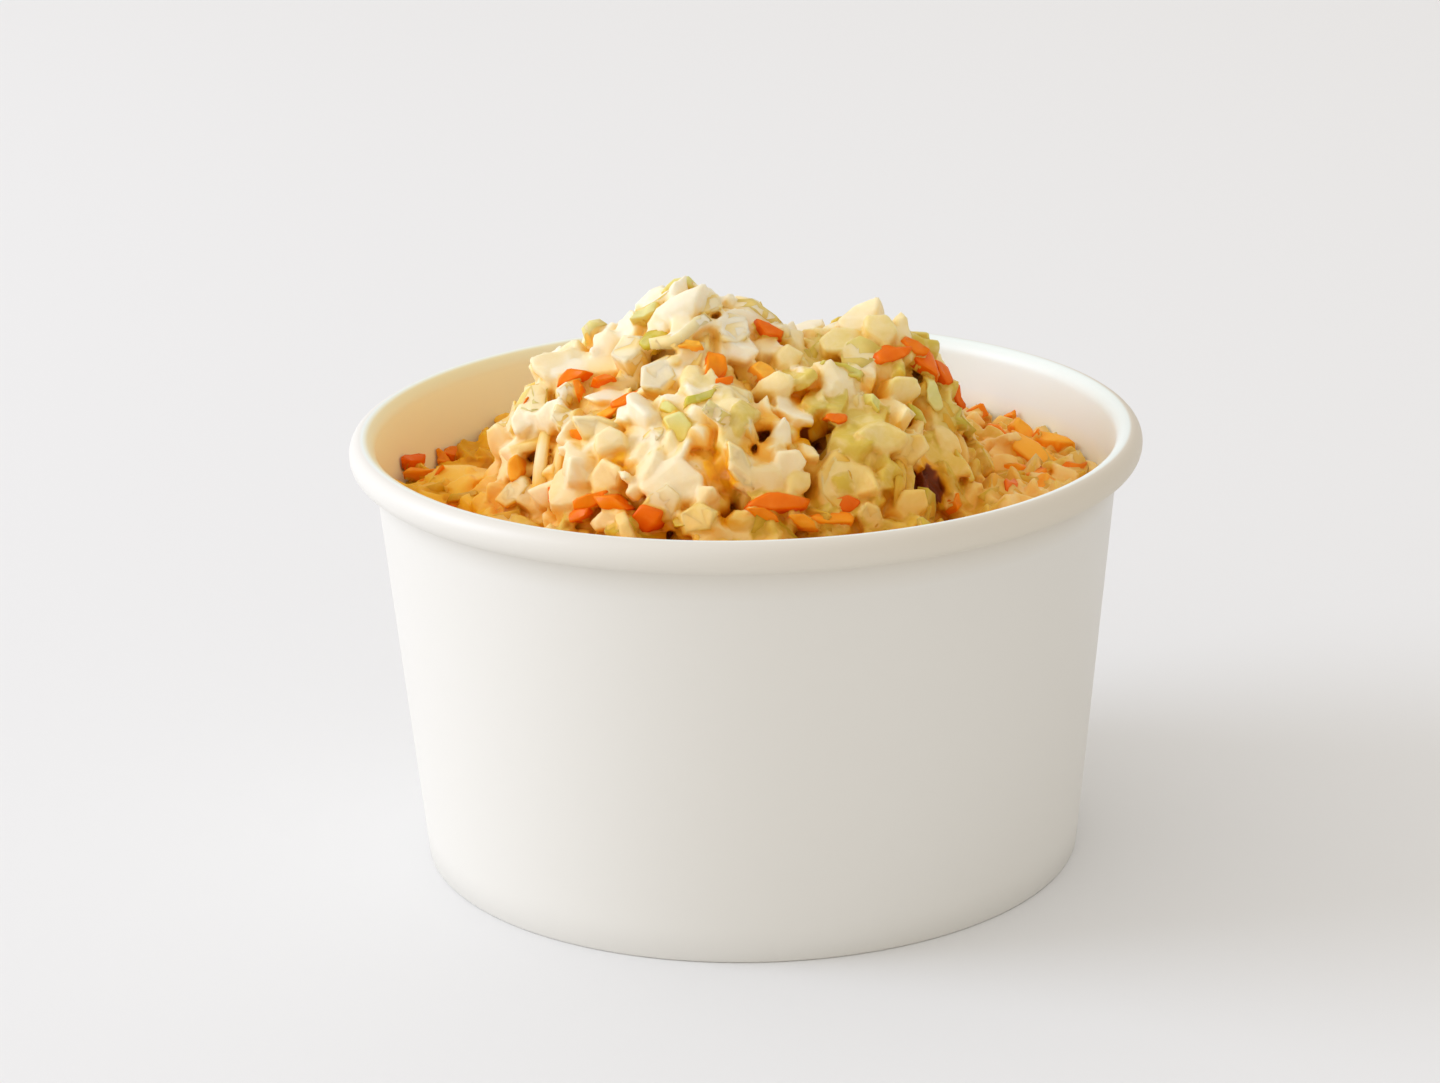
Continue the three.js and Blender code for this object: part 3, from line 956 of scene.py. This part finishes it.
def make_dressed_cabbage(pieces):
    """Core and cabbage fused and smoothed, so that dressing fills the corners between pieces."""
    core_corners, core_triangles = bare_core()
    chip_corners, chip_triangles, (_, chip_tones) = joined_pieces(pieces)
    corners = np.concatenate([core_corners, chip_corners])
    triangles = np.concatenate([core_triangles, chip_triangles + len(core_corners)])
    piece = object_from_arrays("dressed_cabbage", corners, triangles, np.zeros(len(corners)))
    remesh = piece.modifiers.new("remesh", "REMESH")
    remesh.mode = "VOXEL"
    remesh.voxel_size = DRESSING_VOXEL * MM
    smooth = piece.modifiers.new("smooth", "SMOOTH")
    smooth.factor = 0.5
    smooth.iterations = DRESSING_SMOOTHING
    apply_modifiers(piece)
    close_below(piece.data)
    quads = len(piece.data.polygons)
    if 2 * quads > DRESSING_TRIANGLES:
        thin_out = piece.modifiers.new("thin_out", "DECIMATE")
        thin_out.ratio = DRESSING_TRIANGLES / (2 * quads)
        apply_modifiers(piece)
    mesh = piece.data
    corners, normals, _ = mesh_arrays(mesh)
    relief = [
        noise.fractal(Vector(corner) / RELIEF_SIZE, RELIEF_FALLOFF, RELIEF_RATIO, RELIEF_LAYERS)
        for corner in corners
    ]
    corners += normals * RELIEF_DEPTH * np.array(relief)[:, None]
    mesh.vertices.foreach_set("co", (keep_in_tub(corners) * MM).ravel())
    chips = BVHTree.FromPolygons(chip_corners.tolist(), chip_triangles.tolist())
    tones = [chip_tones[chips.find_nearest(Vector(corner))[2]] for corner in corners]
    set_attribute(mesh, "tone", tones)
    mesh.polygons.foreach_set("use_smooth", np.ones(len(mesh.polygons), bool))
    return piece


def close_below(mesh):
    """Cuts the fused mesh under the wall's top and takes it down to the tub's floor."""
    bm = bmesh.new()
    bm.from_mesh(mesh)
    bmesh.ops.bisect_plane(
        bm, geom=bm.verts[:] + bm.edges[:] + bm.faces[:],
        plane_co=(0, 0, DRESSING_CUT * MM), plane_no=(0, 0, 1), clear_inner=True,
    )
    keep_largest_shell(bm)
    rim = [edge for edge in bm.edges if edge.is_boundary]
    made = bmesh.ops.extrude_edge_only(bm, edges=rim)["geom"]
    bottom = FLOOR_HEIGHT + CLEARANCE
    for vert in only_verts(made):
        out = Vector((vert.co.x, vert.co.y, 0)).normalized() * (slaw_radius(bottom) - FLOOR_ROOM)
        vert.co = Vector((out.x, out.y, bottom)) * MM
    floor_edges = [edge for edge in bm.edges if edge.is_boundary]
    bmesh.ops.contextual_create(bm, geom=floor_edges)
    bmesh.ops.recalc_face_normals(bm, faces=bm.faces[:])
    bm.to_mesh(mesh)
    bm.free()


def keep_largest_shell(bm):
    """Deletes the scraps that aren't joined to the largest shell."""
    unseen = set(bm.verts)
    shells = []
    while unseen:
        start = unseen.pop()
        shell = [start]
        front = [start]
        while front:
            vert = front.pop()
            for edge in vert.link_edges:
                other = edge.other_vert(vert)
                if other in unseen:
                    unseen.remove(other)
                    shell.append(other)
                    front.append(other)
        shells.append(shell)
    shells.sort(key=len, reverse=True)
    scraps = [vert for shell in shells[1:] for vert in shell]
    bmesh.ops.delete(bm, geom=scraps, context="VERTS")


# ---------- Openness ----------

# Rays from each corner: how many, how long, how far out they start, how wide they fan.
OPEN_RAYS = 12
OPEN_REACH = 4.5
OPEN_START = 0.08
OPEN_SPREAD = 0.98
OPEN_ROUNDS = 2
# Painted shade in each gap, laid along the camera's line of sight into the heap:
GAP_START = 0.3  # share of its depth where a gap's dark part begins
GAP_SOFTNESS = 1.7
GAP_RAGGEDNESS = 1.5
DARKEST_GAP = 6  # a gap this deep has no light left
# Painted shade in the trough around the mound, most on the left where the tub's wall shades it, and down
# the mound's foot, most on the right, away from the lamp.
TROUGH_LOW = 43
TROUGH_HIGH = 60
TROUGH_X = 1.5
TROUGH_HALF_WIDTH = 30.5
TROUGH_HALF_DEPTH = 42
TROUGH_EDGE = 0.12
TROUGH_DEPTH = 0.58
TROUGH_LEAN = 0.16  # how much more on the left side, and less on the right
FOOT_DEPTH = 0.36
FOOT_LEAN = 0.12  # how much more on the right side, and less on the left


def add_openness(objects):
    """Stores how open each corner lies among its neighbours, and how much painted light the gaps and the
    trough leave it; the materials paint shade from both.
    """
    random = np.random.default_rng(5)
    arrays = [mesh_arrays(piece.data) for piece in objects]
    corners, triangles = [], []
    count = 0
    for piece_corners, _, piece_triangles in arrays:
        corners += piece_corners.tolist()
        triangles += (piece_triangles + count).tolist()
        count += len(piece_corners)
    everything = BVHTree.FromPolygons(corners, triangles)
    for piece, (piece_corners, normals, piece_triangles) in zip(objects, arrays):
        starts = piece_corners + normals * OPEN_START
        free = np.zeros(len(piece_corners))
        for _ in range(OPEN_RAYS):
            ways = random.normal(0, 1, starts.shape)
            ways = normals + OPEN_SPREAD * ways / np.linalg.norm(ways, axis=1, keepdims=True)
            for i, (start, way) in enumerate(zip(starts.tolist(), ways.tolist())):
                hit = everything.ray_cast(Vector(start), Vector(way), OPEN_REACH)[3]
                free[i] += 1 if hit is None else (hit / OPEN_REACH) ** 2
        share = spread_evenly(free / OPEN_RAYS, piece_triangles, OPEN_ROUNDS)
        set_attribute(piece.data, "openness", share)
        set_attribute(piece.data, "painted_gap_and_trough_light", trough_light(piece_corners) * gap_light(piece_corners))


def trough_light(corners):
    """Painted light left at corners in the trough around the mound and down its foot; the painted shade is
    deepest at the trough's two sides.
    """
    x, y, z = corners.T
    from_middle = np.hypot((x - TROUGH_X) / TROUGH_HALF_WIDTH, y / TROUGH_HALF_DEPTH)
    beside = np.clip((from_middle - 1) / TROUGH_EDGE, 0, 1)
    across = np.clip(x / SKIRT_RADIUS, -1, 1)
    at_foot = FOOT_DEPTH + FOOT_LEAN * across
    loss = at_foot + (TROUGH_DEPTH - TROUGH_LEAN * across - at_foot) * beside
    return 1 - loss * np.clip((TROUGH_HIGH - z) / (TROUGH_HIGH - TROUGH_LOW), 0, 1)


def gap_light(corners):
    """How much light is left at corners near the gaps: least inside deep ones, 1 away from all."""
    light = np.ones(len(corners))
    ragged = np.array([noise.noise(Vector(corner) / GAP_RAGGEDNESS) for corner in corners])
    for place, radius, depth in GAP_PLACES:
        from_place = corners - place
        along = np.clip(from_place @ CAMERA_FORWARD, GAP_START * depth, depth)
        away = np.linalg.norm(from_place - along[:, None] * CAMERA_FORWARD, axis=1)
        least = max(0, 1 - depth / DARKEST_GAP)
        light = np.minimum(light, np.clip((away - radius) / GAP_SOFTNESS + ragged, least, 1))
    return light


def spread_evenly(values, triangles, rounds):
    """Averages a value on each corner with its neighbours'."""
    starts = np.concatenate([triangles[:, 0], triangles[:, 1], triangles[:, 2]])
    ends = np.concatenate([triangles[:, 1], triangles[:, 2], triangles[:, 0]])
    for _ in range(rounds):
        total = np.bincount(starts, values[ends], len(values))
        total += np.bincount(ends, values[starts], len(values))
        number = np.bincount(starts, minlength=len(values)) + np.bincount(ends, minlength=len(values))
        values = 0.5 * values + 0.5 * total / np.maximum(number, 1)
    return values


# ---------- The slaw ----------

def lowered(piece, sink, shrink):
    """A copy of a piece, a little smaller and further in."""
    return dict(piece, origin=piece["origin"] - piece["axes"][:, 2] * sink, size=piece["size"] * shrink)


# Scattered kinds: how many, ranges of length, width and thickness in millimetres, how far
# they tip, range of height over the heap's surface, and range of tone.
SCATTERED = {
    "deep": (1100, [(3.8, 6.8), (3.0, 5.0), (1.8, 3.0)], 0.6, (-2.9, -1.5), (0, 0.8)),
    "ribs": (500, [(4.4, 8.0), (3.2, 5.8), (1.9, 3.2)], 0.38, (-1.3, 0.2), (0.1, 1)),
    "leaves": (460, [(5.0, 9.5), (3.0, 5.8), (1.0, 1.6)], 0.36, (-0.9, 0.5), (0, 1)),
    "small": (260, [(2.0, 3.8), (1.5, 2.8), (1.1, 2.0)], 0.6, (-0.6, 0.7), (0.1, 1)),
    "crumbs": (300, [(1.4, 2.8), (1.0, 2.2), (0.8, 1.4)], 0.8, (-0.2, 0.8), (0, 1)),
    "green": (110, [(3.0, 6.0), (1.8, 3.6), (1.1, 1.9)], 0.45, (0.1, 0.8), (0, 1)),
    "carrot": (130, [(2.2, 5.5), (1.2, 2.4), (1.0, 1.8)], 0.5, (0.2, 1.0), (0, 1)),
    "low_carrot": (220, [(2.8, 5.6), (1.6, 3.0), (1.2, 2.0)], 0.5, (-0.3, 0.6), (0.5, 1)),
    "shreds": (50, [(6, 10), (1.2, 2.0), (0.6, 0.9)], 0.2, (0.1, 0.6), (0.3, 1)),
}
# Placed kinds: how much they are enlarged, their thickness and how far they stand out.
PLACED = {
    "white": (1.15, 2.8, 0.5),
    "green": (1.15, 1.9, 0.8),
    "carrot": (1.25, 1.9, 0.9),
    "shreds": (1.25, 0.8, 0.25),
}
# Share of the painted light and shade in the tone that placed whites take.
PLACED_DRIFT = 0.2
LEAF_FLOW = 0.8
# Room that scattered pieces leave around placed ones and gaps.
PLACED_SHARE = 0.35
PLACED_ROOM = 0.5
GAP_ROOM = 1.1
DEEP_GAP_ROOM = 0.9
# The dressed copy under a loose piece, and under a green or carrot one: how low, how large.
SUNK = (0.3, 0.9)
WETTED = (0.22, 1)
# Every third placed white, fifth rib and third leaf is a loose piece over its dressed copy.
WHITES_EVERY = 3
RIBS_EVERY = 5
LEAVES_EVERY = 3


def slaw_materials():
    """Materials of the slaw: white cabbage, leaf scraps, green leaf and carrot."""
    # White cabbage in dressing: the moist cream ground of the whole heap.
    cabbage = wet_food(
        "dressed_white_cabbage",
        [(0, "#D8C258"), (0.25, "#E6D07A"), (0.5, "#F2DFA6"), (0.75, "#F8E9C6"), (1, "#F9EFDA")],
        **DRESSED,
    )
    # Inner cabbage leaf in dressing: pale green to cream, a change from the white.
    scraps = wet_food(
        "dressed_leaf_cabbage",
        [(0, "#CECE6A"), (0.35, "#E0DA88"), (0.7, "#EEE2AA"), (1, "#F3E8C4")],
        **DRESSED,
    )
    # Outer cabbage leaf: firmer, glossier yellow-green spots.
    leaf = wet_food(
        "pale_green_cabbage",
        [(0, "#EAE4A8"), (0.5, "#DCD880"), (1, "#C6BE30")],
        roughness=0.34, scatter=0.3, scatter_radius=(0.5, 0.6, 0.2), film=0.5, film_colour="#F0E8B8",
    )
    # Raw carrot: the strong spots of deep orange to amber.
    root = wet_food(
        "chopped_carrot",
        [(0, "#E05400"), (0.5, "#F47C00"), (0.85, "#FDA214"), (1, "#FFBC40")],
        roughness=0.36, scatter=0.1, scatter_radius=(0.6, 0.4, 0.1), film=0.12, film_colour="#FFB050",
        shade_colours=ROOT_PAINTED_SHADE_COLOURS, painted_gap_and_trough_shade_colours=ROOT_PAINTED_GAP_AND_TROUGH_SHADE_COLOURS,
    )
    return cabbage, scraps, leaf, root


def make_slaw():
    random = np.random.default_rng(3)
    chunks = [chunk_shape(random, random.integers(5, 9), *CHUNK_REACH) for _ in range(40)]
    flakes = [flake_shape(random, random.integers(8, 13)) for _ in range(40)]
    strips = [strip_shape(random, random.uniform(4, 12)) for _ in range(20)]
    block_random = np.random.default_rng(8)
    blocks = [chunk_shape(block_random, block_random.integers(5, 7), *BLOCK_REACH) for _ in range(40)]

    white_seen = seen_pieces(random, WHITE_SEEN, *PLACED["white"], blocks, PLACED_DRIFT)
    green_seen = seen_pieces(random, GREEN_SEEN, *PLACED["green"], chunks)
    carrot_seen = seen_pieces(random, CARROT_SEEN, *PLACED["carrot"], chunks)
    shreds_seen = seen_pieces(random, SHREDS_SEEN, *PLACED["shreds"], strips)
    seen = white_seen + green_seen + carrot_seen + shreds_seen
    spots = [(piece["origin"], PLACED_SHARE * piece["size"][:2].mean() + PLACED_ROOM) for piece in seen]
    gaps = [(place, radius + GAP_ROOM) for place, radius, depth in GAP_PLACES]
    deep_gaps = [(place - UP * 0.5 * depth, radius + DEEP_GAP_ROOM) for place, radius, depth in GAP_PLACES]
    taken = spots + gaps

    deep = scattered_pieces(random, *SCATTERED["deep"], chunks, deep_gaps)
    ribs = scattered_pieces(random, *SCATTERED["ribs"], chunks, taken)
    leaves = scattered_pieces(random, *SCATTERED["leaves"], flakes, taken, flow=LEAF_FLOW)
    small = scattered_pieces(random, *SCATTERED["small"], chunks, taken)
    crumbs = scattered_pieces(random, *SCATTERED["crumbs"], chunks[:12], gaps)
    green = scattered_pieces(random, *SCATTERED["green"], chunks, gaps, behind_only=True, drift=0)
    carrot = scattered_pieces(random, *SCATTERED["carrot"], chunks, gaps, behind_only=True, drift=0)
    low_carrot = scattered_pieces(random, *SCATTERED["low_carrot"], chunks, gaps, drift=0)
    carrot += [piece for piece in low_carrot if np.hypot(*piece["origin"][:2]) > SKIRT_RADIUS]
    shreds = scattered_pieces(random, *SCATTERED["shreds"], strips, taken)

    strings = shreds_seen + shreds
    loose = white_seen[::WHITES_EVERY] + ribs[::RIBS_EVERY]
    scraps_loose = leaves[::LEAVES_EVERY]
    sunk = [lowered(piece, *SUNK) for piece in loose + scraps_loose + strings]
    wetted = [lowered(piece, *WETTED) for piece in green_seen + green + carrot_seen + carrot]
    fused = deep + white_seen + ribs + leaves + small + crumbs + sunk + wetted
    cabbage, scraps, leaf, root = slaw_materials()
    objects = [
        (make_dressed_cabbage(fused), cabbage),
        (make_scatter("white_cabbage", loose), cabbage),
        (make_scatter("leaf_cabbage", scraps_loose), scraps),
        (make_scatter("green_cabbage", green_seen + green), leaf),
        (make_scatter("carrot", carrot_seen + carrot), root),
        (make_scatter("cabbage_shreds", strings), cabbage),
    ]
    add_openness([piece for piece, material in objects])
    for piece, material in objects:
        piece.data.materials.append(material)
    return [piece for piece, material in objects]


# ---------- The studio ----------

SKY_STRENGTH = 0.88
SKY_FALL = 0.2  # how much darker the room is on the right than in the middle
KEY_PLACE = (-1.5, 0, 0.7)
KEY_TARGET = (0, 0, 0.04)
KEY_SIZE = 1.0
KEY_POWER = 14.6
FLOOR_RADIUS = 4000
FLOOR_SIDES = 64


def make_floor():
    bm = bmesh.new()
    bmesh.ops.create_circle(bm, cap_ends=True, segments=FLOOR_SIDES, radius=FLOOR_RADIUS)
    floor = object_from_bmesh("floor", bm, smooth=False)
    floor.data.materials.append(studio_floor())


def make_area_light(name, place, target, size, power, colour):
    data = bpy.data.lights.new(name, "AREA")
    data.shape = "DISK"
    data.size = size
    data.energy = power
    data.color = linear(colour)[:3]
    light = add_object(name, data)
    light.location = place
    light.visible_camera = False
    light.rotation_euler = (Vector(place) - Vector(target)).to_track_quat("Z", "Y").to_euler()


def make_lights():
    """A soft room, a little darker on the right, and one cool disk lamp from the left."""
    world = bpy.data.worlds.new("studio")
    world.use_nodes = True
    tree = world.node_tree
    direction = add_node(tree, "ShaderNodeTexCoord")
    parts = add_node(tree, "ShaderNodeSeparateXYZ", links={"Vector": direction.outputs["Generated"]})
    strength = add_node(
        tree, "ShaderNodeMath",
        {"operation": "MULTIPLY_ADD", 1: -SKY_FALL, 2: SKY_STRENGTH},
        {0: parts.outputs["X"]},
    )
    background = tree.nodes["Background"]
    background.inputs["Color"].default_value = linear("#FFFBF7")
    tree.links.new(strength.outputs["Value"], background.inputs["Strength"])
    bpy.context.scene.world = world
    make_area_light("key", KEY_PLACE, KEY_TARGET, KEY_SIZE, KEY_POWER, "#E0EAFF")
    bpy.context.scene.view_settings.view_transform = "Standard"


make_camera()
make_floor()
make_lights()

tub = make_tub()
tub.data.materials.append(coated_paperboard())
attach(tub, "root")
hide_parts("cup")

for piece in make_slaw():
    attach(piece, "root")
    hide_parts("coleslaw")
